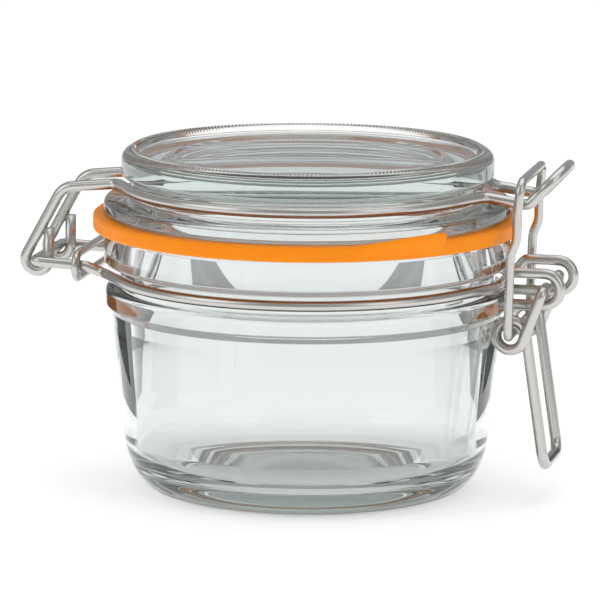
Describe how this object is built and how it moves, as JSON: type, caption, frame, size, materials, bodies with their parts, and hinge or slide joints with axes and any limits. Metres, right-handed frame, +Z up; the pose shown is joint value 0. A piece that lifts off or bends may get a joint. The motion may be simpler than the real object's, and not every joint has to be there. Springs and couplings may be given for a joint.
{
  "type": "lidded glass canister",
  "caption": "Small round glass canister with a glass lid, a rubber gasket and a wire bail closure that hinges at one side and latches at the other.",
  "frame": {"origin": "centre of the whole closed canister's footprint box, on the surface it stands on", "axes": "+Z up; +X from the hinge side to the latch side; +Y away from the side where the gasket's pull tab is"},
  "size_m": [0.1254, 0.097, 0.0779],
  "materials": {
    "glass": "clear pressed soda-lime glass with a faint green edge",
    "rubber": "orange moulded rubber, satin",
    "steel_wire": "bright drawn stainless steel wire"
  },
  "bodies": {
    "jar": {"glass_jar": "glass", "neck_wire": "steel_wire", "neck_tie_link": "steel_wire"},
    "lid": {"glass_lid": "glass", "rubber_gasket": "rubber", "lid_wire": "steel_wire"},
    "lever": {"lever_handle": "steel_wire"},
    "link": {"latch_link": "steel_wire"}
  },
  "joints": [
    {"name": "lid_hinge", "type": "hinge", "parent": "jar", "child": "lid", "pos_m": [-0.05867, 0, 0.0514], "axis": [0, -1, 0], "range_deg": [0, 110]},
    {"name": "lever_pivot", "type": "hinge", "parent": "jar", "child": "lever", "pos_m": [0.05792, 0, 0.0492], "axis": [0, -1, 0], "range_deg": [0, 125]},
    {"name": "link_pivot", "type": "hinge", "parent": "lever", "child": "link", "pos_m": [0.05063, 0, 0.0388], "axis": [0, -1, 0], "range_deg": [-80, 0]}
  ],
  "couplings": [
    {"joint": "link_pivot", "follows": "lever_pivot", "ratio": -0.64}
  ]
}
